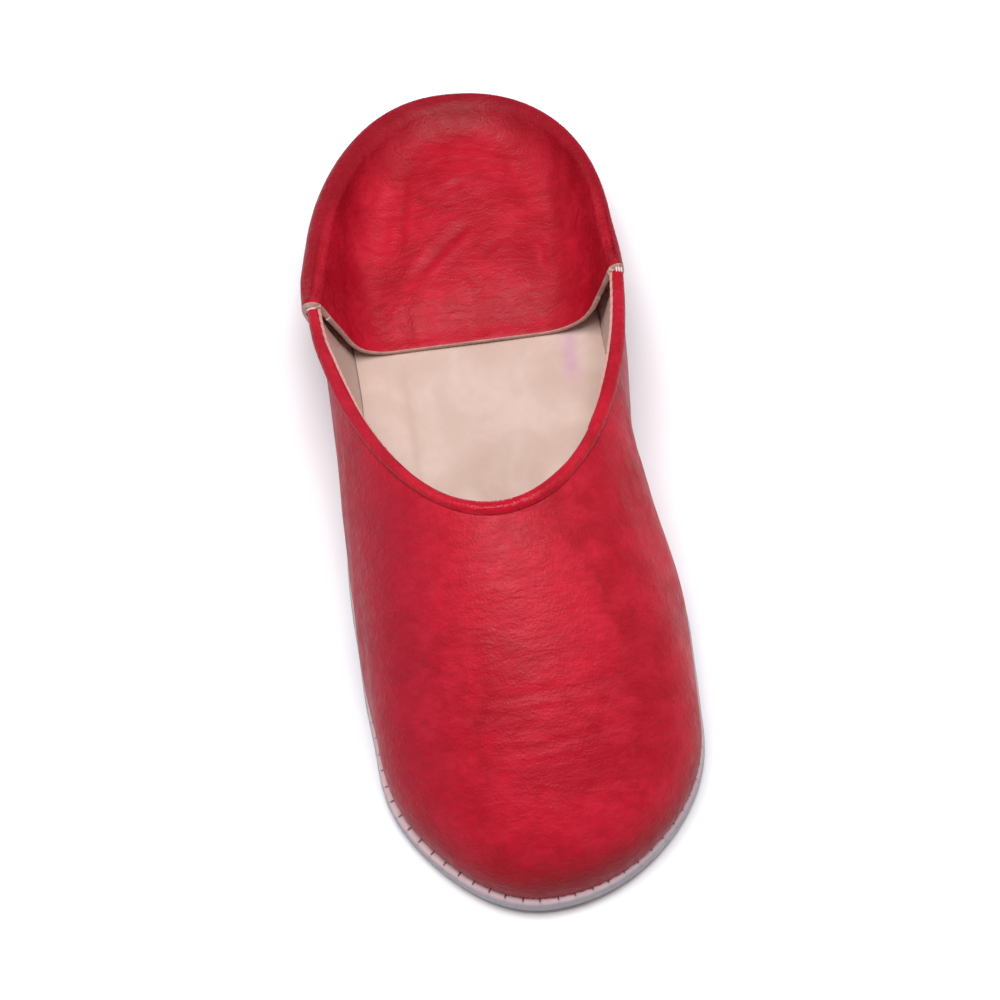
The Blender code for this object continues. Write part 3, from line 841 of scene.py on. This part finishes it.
def build_upper():
    wall, roll = vamp_wall(VAMP_COLUMNS, VAMP_ROWS)
    normals = grid_normals(wall)
    across = np.linspace(0, 1, VAMP_COLUMNS + 1)[:, None]
    up = np.linspace(0, 1, VAMP_ROWS + 1)[None]
    creases = crease_relief(wall, VAMP_CREASES, VAMP_CREASE_DEPTH)
    forefoot = hump((across - 0.5) / 0.3) * hump((up - 0.58) / 0.26)
    ripples = VAMP_RIPPLES * forefoot * cloud(wall, (22 * MM, 3.2 * MM, 3.2 * MM), 5)
    middle = step(up / 0.2) * step((1 - up) / 0.1)
    swells = VAMP_SWELLS * cloud(wall, (34 * MM, 26 * MM, 26 * MM), 9) * middle
    run = line_length(foot_line(front=True)[:, :2])
    pulled = np.cos(2 * np.pi * across * np.round(run / STITCH_PITCH)) * hump(up / 0.05)
    seam = np.minimum(across, 1 - across) * run
    dip = SEAM_DIP * hump(seam / SEAM_DIP_WIDTH)
    relief = creases + ripples + swells + STITCH_PULL * pulled - dip
    outer = wall + normals * relief[:, :, None]
    outer[:, 0, 2] = wall[:, 0, 2]
    skin = outer - normals * UPPER_LEATHER
    skin[:, 0, 2] = wall[:, 0, 2]

    start = roll[4]
    turns = -start + (np.pi + ROLL_TUCK + start) * np.linspace(0, 1, ROLL_STEPS + 1)[None, 1:]
    pleats = sum(hump((across - place) / PLEAT_WIDTH) for place in ROLL_PLEATS)
    pressed = pleats * hump((turns - 1.3) / 0.9)
    bead = ROLL_WAVER * cloud(roll[0] / MM, (7, 7, 7), 3)[:, None] - PLEAT_DEPTH * pressed
    round_out = round_roll(roll, bead, turns)
    round_in = round_roll(roll, bead - UPPER_LEATHER, turns)
    grid = np.concatenate([outer, round_out, round_in[:, ::-1], skin[:, ::-1]], axis=1)
    for end in (0, -1):
        grid[end, :, 1] = y_at(SEAM_FROM_TOE)

    neck = VAMP_ROWS + 1
    outside = neck + ROLL_STEPS
    fold, raw, shade, dusty, gloss = np.zeros((5, *grid.shape[:2]))
    # painted highlight along the roll's top at the throat; the pressed pleats painted darker as shade
    roll_highlight = 0.6 * hump((turns - 1.1) / 0.35) * hump((across - 0.5) / 0.13)
    # painted shade in the creases' and ripples' troughs, painted highlight on their ridges
    fold[:, :neck] = (creases + 0.6 * ripples) / VAMP_CREASE_DEPTH
    fold[:, neck:outside] = roll_highlight - 0.9 * pressed
    raw[:, outside:] = 1
    low = step(1 - up / 0.34)
    shade[:, :neck] = 0.8 * low * hump((across - 0.5) / 0.3) + 0.35 * low
    # the flanks, the band above the sole and the roll's outer side painted duller as grazing sheen
    sides = 0.55 * step((0.36 - across) / 0.14) + 0.35 * step((across - 0.80) / 0.08)
    dusty[:, :neck] = sides * step((1.02 - up) / 0.1) + 0.25 * step(1 - up / 0.12)
    dusty[:, neck:neck + 13] = 0.35 * step((0.30 - across) / 0.1)
    gloss[:, neck + 1:outside] = hump((across - 0.51) / 0.12)
    piece = ring_piece("vamp_leather", "upper_leather", grid, RED,
                       fold=fold, raw=raw, shade=shade, dusty=dusty, gloss=gloss)
    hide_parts("upper")


def build_lining():
    wall, roll = vamp_wall(LINING_COLUMNS, LINING_ROWS)
    normals = grid_normals(wall)
    across = np.linspace(0, 1, LINING_COLUMNS + 1)[:, None]
    up = np.linspace(0, 1, LINING_ROWS + 1)[None]
    face = wall - normals * UPPER_WALL
    back = wall - normals * (UPPER_LEATHER + LEATHER_TO_LINING)
    side = hump((across - 0.12) / 0.10) + hump((across - 0.9) / 0.08)
    middle = step(up / 0.15) * step((1 - up) / 0.2)
    puckers = LINING_PUCKERS * side * cloud(face, (9 * MM, 7 * MM, 60 * MM), 21) * middle
    face = face - normals * puckers[:, :, None]
    face[:, 0, 2] = wall[:, 0, 2]
    back[:, 0, 2] = wall[:, 0, 2]

    run = line_length(roll[0])
    place = np.concatenate([[0], np.cumsum(np.linalg.norm(np.diff(roll[0], axis=0), axis=1))])
    count = np.round(run / SCALLOP_PITCH)
    scallop = np.abs(np.sin(np.pi * place / run * count))[:, None] ** 0.5
    top = np.pi + SCALLOP_LOW - SCALLOP_DEPTH * scallop
    low = np.pi + LINING_TUCK
    turns = low + (top - low) * np.linspace(0, 1, LINING_EDGE_STEPS)[None]
    round_face = round_roll(roll, LINING_LEATHER + 0.05 * MM, turns)
    round_back = round_roll(roll, 0.04 * MM, turns)
    face, back, puckers = face[:, :-2], back[:, :-2], puckers[:, :-2]
    grid = np.concatenate([face, round_face, round_back[:, ::-1], back[:, ::-1]], axis=1)
    for end in (0, -1):
        grid[end, :, 1] = y_at(SEAM_FROM_TOE)

    fold, raw = np.zeros((2, *grid.shape[:2]))
    # painted shade: darker in the puckers' hollows and on the side walls, and a little darker all over
    fold[:, :face.shape[1]] = puckers / (0.35 * MM) - 0.16 - 0.22 * side
    edge = face.shape[1] + LINING_EDGE_STEPS
    raw[:, edge - 5] = 0.6
    raw[:, edge - 4:edge + 5] = 1
    ring_piece("vamp_lining", "lining_leather", grid, BEIGE, fold=fold, raw=raw)


def build_counter():
    wall, flap = counter_faces()
    across = np.linspace(0, 1, COUNTER_COLUMNS + 1)[:, None]
    faces = np.concatenate([wall, flap], axis=1)
    normals = -grid_normals(faces)
    inward = np.linspace(0, 1, FLAP_ROWS + 1)[None]
    creases, free = np.zeros((2, *faces.shape[:2]))
    on_flap = slice(COUNTER_WALL_ROWS, None)
    creases[:, on_flap] = crease_relief(faces[:, on_flap], FLAP_CREASES, FLAP_CREASE_DEPTH)
    between_seams = step(across / 0.08) * step((1 - across) / 0.08)
    free[:, on_flap] = step(inward / 0.2) * step((1 - inward) / 0.05) * between_seams
    swells = FLAP_SWELLS * free * cloud(faces, (30 * MM, 24 * MM, 24 * MM), 31)
    ripples = FLAP_RIPPLES * free * cloud(faces, (7 * MM, 5 * MM, 5 * MM), 35)
    creases = creases * np.where(free > 0, np.clip(free * 1.6, 0, 1), 1)
    relief = creases + swells + ripples
    outer = faces + normals * relief[:, :, None]
    outer[:, 0, 2] = faces[:, 0, 2]
    under = faces - normals * FLAP_THICKNESS
    under[:, 0, 2] = faces[:, 0, 2]

    front = y_at(SEAM_FROM_TOE) + SEAM_GAP
    bevel = SIDE_BEVEL + ARCH_BEVEL * step(np.abs(across - 0.5) / 0.06 - 7)
    outer[:, :, 1] += bevel * step(1 - (faces[:, :, 1] - front) / BEVEL_RUN)
    middle = (outer[:, -1:] + under[:, -1:]) / 2
    half = (outer[:, -1:] - under[:, -1:]) / 2
    forward = unit(outer[:, -1:] - outer[:, -2:-1])
    turn = np.linspace(np.pi / 2, -np.pi / 2, 7)[None, 1:-1, None]
    rim = middle + half * np.sin(turn) + forward * RAW_EDGE_BULGE * np.cos(turn)
    grid = np.concatenate([outer, rim, under[:, ::-1]], axis=1)
    rows = outer.shape[1]
    for end in (0, -1):
        grid[end, rows:, 1] = front
        grid[end, :rows, 1] = front + bevel[end]

    fold, raw, shade, dusty = np.zeros((4, *grid.shape[:2]))
    # painted shade in the creases' troughs and painted highlight on their ridges
    fold[:, :rows] = (creases + 0.5 * ripples) / (0.7 * MM)
    raw[:, rows:] = 1
    thirds = hump((across - 0.27) / 0.08) + hump((across - 0.70) / 0.08)
    ridge_band = step(1 - inward / 0.30)
    shade[:, COUNTER_WALL_ROWS:rows] = 0.22 * thirds * step(inward / 0.3) + 0.78 * ridge_band
    shade[:, :COUNTER_WALL_ROWS] = 0.75
    # the back's wall painted duller as grazing sheen, more towards the inner seam
    dusty[:, :COUNTER_WALL_ROWS] = 0.15 + 0.35 * step((across - 0.5) / 0.2)
    cut = grid[[0, -1]] - (0, CUT_FACE, 0)
    grid = np.concatenate([cut[:1], grid, cut[1:]])
    fold, shade, dusty = (np.pad(mark, ((1, 1), (0, 0)), mode="edge") for mark in (fold, shade, dusty))
    raw = np.pad(raw, ((1, 1), (0, 0)), constant_values=1)
    piece = ring_piece("back_leather", "back_leather", grid, RED,
                       fold=fold, raw=raw, shade=shade, dusty=dusty)
    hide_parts("heel_counter")


def build_footbed():
    t = np.linspace(0, np.pi, FOOTBED_COLUMNS + 1)
    station = FOOTBED_END + (1 - 2 * FOOTBED_END) * (1 - np.cos(t)) / 2
    loop, _ = sole_outline(700, lambda plan: bare_margin(plan) + UPPER_WALL - FOOTBED_OVERLAP)
    half = len(loop) // 2
    inner, outer = loop[:half + 1], np.concatenate([loop[half:], loop[:1]])[::-1]
    y = inner[0, 1] + (inner[-1, 1] - inner[0, 1]) * station
    right = np.interp(y, inner[:, 1], inner[:, 0])
    left = np.interp(y, outer[:, 1], outer[:, 0])
    across = np.linspace(0, 1, FOOTBED_ROWS + 1)[None]
    x = left[:, None] + (right - left)[:, None] * across
    y = np.broadcast_to(y[:, None], x.shape)
    low = SOLE_THICKNESS + GAP
    top = np.stack([x, y, np.full(x.shape, low + INSOLE_THICKNESS)], axis=2)
    bottom = np.stack([x, y, np.full(x.shape, low)], axis=2)
    edge = np.minimum(x - left[:, None], right[:, None] - x)
    inside = step(edge / (6 * MM))
    soft = FOOTBED_SWELLS * cloud(top, (18 * MM, 30 * MM, 30 * MM), 51) * inside
    ahead_of_flap = step((y_at(182 * MM) - y) / (20 * MM)) * inside
    line = FOOTBED_LINE * hump((x + 23 * MM + 0.04 * y) / (1.5 * MM)) * ahead_of_flap
    top[:, :, 2] += soft - line - 0.15 * MM * (1 - inside)
    grid = np.concatenate([top, bottom[:, ::-1]], axis=1)
    fold, stain = np.zeros((2, *grid.shape[:2]))
    # painted shade along the crease line, in the dips and near the edge against the lining
    fold[:, :FOOTBED_ROWS + 1] = (soft - 2 * line) / (0.5 * MM) - 0.10 * (1 - inside)
    stain[:, :FOOTBED_ROWS + 1] = hump((x - 26 * MM) / (2.2 * MM)) * hump((y - 40 * MM) / (9 * MM))
    piece = ring_piece("footbed", "lining_leather", grid, BEIGE, fold=fold, stain=stain)
    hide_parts("insole")


def build_sole():
    loop, outward = sole_outline(SOLE_COLUMNS // 2, lambda plan: np.zeros(len(plan)))
    shares = np.linspace(0, 1, SOLE_COLUMNS, endpoint=False)
    around = np.concatenate([loop, outward], axis=1)
    around = np.concatenate([around, around[:1]])
    lengths = np.linalg.norm(np.diff(around[:, :2], axis=0), axis=1)
    run = np.concatenate([[0.0], np.cumsum(lengths)])
    around = np.stack([np.interp(shares * run[-1], run, values) for values in around.T], axis=1)
    plan, outward = around[:, :2], unit(around[:, 2:])
    count = np.round(run[-1] / STITCH_PITCH)
    phase = (shares * count) % 1 - 0.5
    from_stitch = phase * run[-1] / count
    levels, lips, slits, unders = [], [], [], []
    for inset, height in SOLE_SIDE_TABLE:
        notch = hump(from_stitch / NOTCH_WIDTH) * step((height - 0.50) / 0.25)
        depth = inset * SOLE_THICKNESS + NOTCH_DEPTH * notch
        level = lifted(plan - outward * depth[:, None], height * SOLE_THICKNESS)
        level[:, 2] -= NOTCH_DROP * notch * step((height - 0.8) / 0.2)
        levels.append(level)
        # share of each row painted pale as the lit rounded top; below it the side is painted grey as in shade
        lips.append(np.full(len(plan), step((height - 0.66) / 0.34)))
        unders.append(np.full(len(plan), 1 - step(height / 0.06)))
        slits.append(hump(from_stitch / SLIT_WIDTH) * step((height - 0.90) / 0.09))
    piece = ring_piece("sole_body", "sole_leather", np.array(levels), NATURAL,
                       lip=np.array(lips), under=np.array(unders), slit=np.array(slits))
    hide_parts("outsole")
    paths = []
    for k in range(int(count)):
        at = int(round((k + 0.5) / count * SOLE_COLUMNS)) % SOLE_COLUMNS
        point, out = plan[at], outward[at]
        margin = bare_margin(point)
        path = []
        for inset, height in ((margin + 0.1 * MM, 1.02), (0.75 * margin, 1.01), (0.6 * MM, 0.97)):
            path.append([*(point - out * (inset + SOLE_THREAD_DEPTH)), height * SOLE_THICKNESS])
        paths.append(along_line(np.array(path), np.linspace(0, 1, 9)))
    vertices, faces = tubes(paths, SOLE_THREAD_RADIUS, 6)
    add_piece("sole_stitches", "sole_leather", vertices, faces, DARK_THREAD)


def build_threads():
    """Threads down both side seams, and the threads that hold the ends of the roll."""
    wall, roll = vamp_wall(VAMP_COLUMNS, VAMP_ROWS)
    back, _ = counter_faces()
    normals = grid_normals(wall)
    paths = []
    for end, beside in ((0, 2), (-1, -3)):
        for height in np.arange(0.10, 0.93, SEAM_STITCH_STEP):
            row = int(height * VAMP_ROWS)
            next_row = int(min(height + SEAM_STITCH_STEP, 0.97) * VAMP_ROWS)
            out = normals[end, row]
            depth = out * SEAM_THREAD_DEPTH
            here = wall[beside, row] - depth
            there = back[beside, int(height * COUNTER_WALL_ROWS)] - depth
            after = wall[beside, next_row] - depth
            middle = (here + there) / 2 + out * 0.10 * MM
            paths.append([here, middle, there])
            middle = (there + after) / 2 + out * 0.02 * MM
            paths.append([there, middle, after])
    paths = [along_line(np.array(path), np.linspace(0, 1, 7)) for path in paths]
    vertices, faces = tubes(paths, SEAM_THREAD_RADIUS)
    add_piece("side_seam_threads", "upper_leather", vertices, faces, RED_THREAD)

    turns = np.linspace(0.55, 2.35, 15)[None]
    ring = round_roll(roll, 0.12 * MM, turns)[0]
    ring[:, 1] = y_at(SEAM_FROM_TOE) - 0.35 * MM
    paths = [ring]
    for turn in (1.05, 1.45, 1.85):
        point = round_roll(roll, 0.15 * MM, np.array([[turn]]))[-1, 0]
        start = point - (0, 1.1 * MM, 0)
        finish = point + (0, 0.5 * MM, 0.25 * MM)
        path = np.array([start, point + UP * 0.15 * MM, finish])
        paths.append(along_line(path, np.linspace(0, 1, 7)))
    vertices, faces = tubes(paths, END_THREAD_RADIUS)
    add_piece("roll_end_threads", "lining_leather", vertices, faces, PALE_THREAD)


def build_floor():
    mesh = bpy.data.meshes.new("floor")
    half = 6.0
    corners = [(-half, -half, 0), (half, -half, 0), (half, half, 0), (-half, half, 0)]
    mesh.from_pydata(corners, [], [(0, 1, 2, 3)])
    n = Nodes("floor_paper")
    n.finish(srgb(250, 250, 252), 0.9, n.bump(n.noise(0.003, 2), 0.00002))
    mesh.materials.append(n.material)
    floor = bpy.data.objects.new("floor", mesh)
    bpy.context.scene.collection.objects.link(floor)


def add_light(name, place, target, size, power, colour):
    data = bpy.data.lights.new(name, "AREA")
    data.shape = "RECTANGLE"
    data.size, data.size_y = size
    data.energy = power
    data.color = colour
    light = bpy.data.objects.new(name, data)
    light.location = place
    light.rotation_euler = (Vector(target) - Vector(place)).to_track_quat("-Z", "Y").to_euler()
    bpy.context.scene.collection.objects.link(light)


def build_studio():
    add_light("left_softbox", (-1.0, 0.15, 0.9), (0, 0, 0), (0.9, 0.9), 1.6, (1.0, 0.98, 1.0))
    add_light("right_softbox", (1.0, 0.15, 0.9), (0, 0, 0), (0.9, 0.9), 2.0, (1.0, 0.98, 1.0))
    add_light("top_softbox", (0.0, 0.05, 1.4), (0, 0, 0), (0.9, 0.7), 19.5, (1.0, 1.0, 1.0))
    world = bpy.data.worlds.new("studio")
    world.use_nodes = True
    background = world.node_tree.nodes["Background"]
    background.inputs["Color"].default_value = (0.92, 0.92, 1.0, 1.0)
    background.inputs["Strength"].default_value = 0.25
    bpy.context.scene.world = world
    bpy.context.scene.view_settings.view_transform = "Standard"


# Camera at the photograph's angle to the slipper
CAMERA_PLACE = Vector((0.010987, -0.394256, 0.792736)) + Vector(SHIFT)
CAMERA_TARGET = Vector((-0.000472, -0.002199, 0.0)) + Vector(SHIFT)
CAMERA_RIGHT = Vector((0.9921, -0.1064, -0.0670))
CAMERA_LENS = 106.9


def build_camera():
    data = bpy.data.cameras.new("camera")
    data.lens = CAMERA_LENS
    data.sensor_width = 36
    camera = bpy.data.objects.new("camera", data)
    back = (CAMERA_PLACE - CAMERA_TARGET).normalized()
    right = (CAMERA_RIGHT - back * CAMERA_RIGHT.dot(back)).normalized()
    above = back.cross(right)
    axes = Matrix((right, above, back)).transposed()
    camera.matrix_world = Matrix.Translation(CAMERA_PLACE) @ axes.to_4x4()
    bpy.context.scene.collection.objects.link(camera)
    bpy.context.scene.camera = camera


build_sole()
build_footbed()
build_lining()
build_upper()
build_counter()
build_threads()
build_floor()
build_studio()
build_camera()
